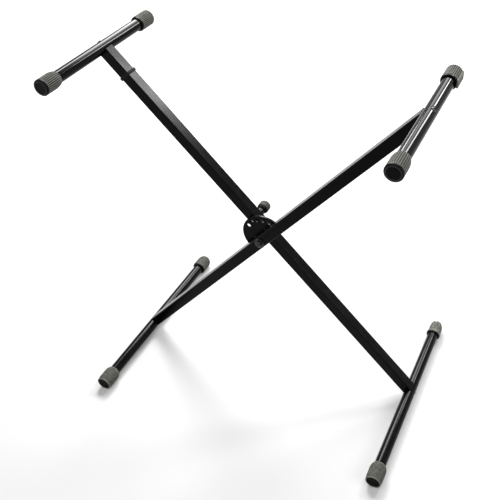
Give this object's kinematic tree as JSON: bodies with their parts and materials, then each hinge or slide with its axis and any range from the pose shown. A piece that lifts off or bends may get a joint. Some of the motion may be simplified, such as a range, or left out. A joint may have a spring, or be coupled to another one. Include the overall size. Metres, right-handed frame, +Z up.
{
  "type": "folding keyboard stand",
  "caption": "X-shaped folding stand: crossed square legs on a pivot with a spring-pin locking disc, round top bars and foot tubes with rubber caps.",
  "frame": {"origin": "on the floor under the pivot, midway between the two legs", "axes": "+X to the right, +Y away from the front, +Z up"},
  "size_m": [0.7356, 0.496, 0.8025],
  "materials": {
    "satin_black": "satin black powder coat",
    "gloss_black": "gloss black enamel",
    "grey_rubber": "warm grey, fluted or knurled",
    "black_plastic": "moulded black",
    "black_rubber": "matt black",
    "zinc": "bright zinc plate",
    "dark_steel": "dark plated steel",
    "nylon": "natural nylon"
  },
  "bodies": {
    "front_leg": {"disc_welds": "satin_black", "front_leg_sleeve": "zinc", "front_leg_tube": "satin_black", "left_foot_bolt": "dark_steel", "left_foot_far_cap": "grey_rubber", "left_foot_far_collar": "black_plastic", "left_foot_near_cap": "grey_rubber", "left_foot_nut_block": "dark_steel", "left_foot_tube": "gloss_black", "left_foot_washer": "dark_steel", "locking_disc": "satin_black", "pivot_bolt": "dark_steel", "pivot_front_washer": "dark_steel", "pivot_nut": "dark_steel", "pivot_rear_washer": "zinc", "pivot_spacer": "zinc", "right_top_bar": "gloss_black", "right_top_bar_bolt": "dark_steel", "right_top_bar_far_cap": "grey_rubber", "right_top_bar_far_collar": "black_plastic", "right_top_bar_near_cap": "grey_rubber", "right_top_bar_near_plug": "black_plastic", "right_top_bar_nut_block": "dark_steel", "right_top_bar_washer": "dark_steel"},
    "rear_leg": {"left_top_bar": "gloss_black", "left_top_bar_bolt": "dark_steel", "left_top_bar_far_cap": "grey_rubber", "left_top_bar_far_collar": "black_plastic", "left_top_bar_near_cap": "grey_rubber", "left_top_bar_near_plug": "black_plastic", "left_top_bar_nut_block": "dark_steel", "left_top_bar_washer": "dark_steel", "lock_spring": "zinc", "pin_housing": "satin_black", "pivot_bushes": "nylon", "rear_leg_band": "black_rubber", "rear_leg_tube": "satin_black", "right_foot_bolt": "dark_steel", "right_foot_far_collar": "black_plastic", "right_foot_near_cap": "grey_rubber", "right_foot_nut_block": "dark_steel", "right_foot_tube": "gloss_black", "right_foot_washer": "dark_steel"},
    "lock_pin": {"lock_knob": "black_plastic", "lock_pin": "zinc"},
    "levelling_cap": {"levelling_cap": "grey_rubber"}
  },
  "joints": [
    {"name": "fold", "type": "hinge", "parent": "front_leg", "child": "rear_leg", "pos_m": [0, 0.016, 0.40089], "axis": [0, 1, 0], "range_deg": [-20, 80]},
    {"name": "pull_pin", "type": "slide", "parent": "rear_leg", "child": "lock_pin", "axis": [0, 1, 0], "range_m": [-0.003, 0.006], "stiffness_N_per_m": 1500, "springref_m": -0.003, "deforming": ["lock_spring"]},
    {"name": "level_turn", "type": "hinge", "parent": "rear_leg", "child": "levelling_cap", "pos_m": [0.34795, 0.22, 0.0185], "axis": [0, 1, 0], "continuous": true}
  ]
}
